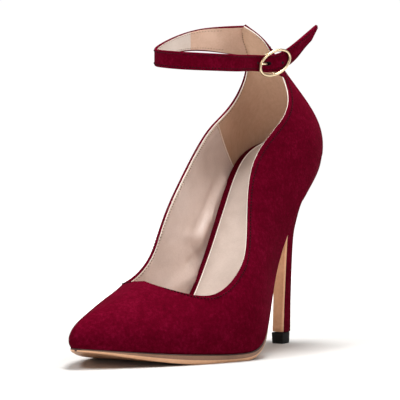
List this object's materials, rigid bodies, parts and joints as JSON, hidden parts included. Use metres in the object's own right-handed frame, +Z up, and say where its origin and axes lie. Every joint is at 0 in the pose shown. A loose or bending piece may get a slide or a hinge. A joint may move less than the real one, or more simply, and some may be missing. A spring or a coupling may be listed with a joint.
{
  "type": "stiletto heel shoe",
  "caption": "Pointed-toe stiletto heel shoe with a high back, an ankle strap closed by an oval buckle, a suede upper, a thin leather sole and a slim covered heel.",
  "frame": {"origin": "on the floor under the ball of the foot, on the flat of the outsole, in the middle plane of the heel", "axes": "-Y towards the toe, +X to the lateral (outer) side of this left shoe, +Z up"},
  "size_m": [0.0802, 0.2073, 0.1803],
  "materials": {
    "suede": "burgundy suede with a short nap",
    "sole_leather": "smooth tan leather",
    "board": "board with a suede-covered edge",
    "top_lift": "matte black",
    "gold": "polished pale gold plating"
  },
  "bodies": {
    "root": {"upper": "suede", "ankle_strap": "suede", "buckle_tab": "suede", "heel": "suede", "insole": "board", "outsole": "sole_leather", "top_piece": "top_lift", "buckle_frame": "gold", "buckle_prong": "gold"}
  },
  "joints": []
}
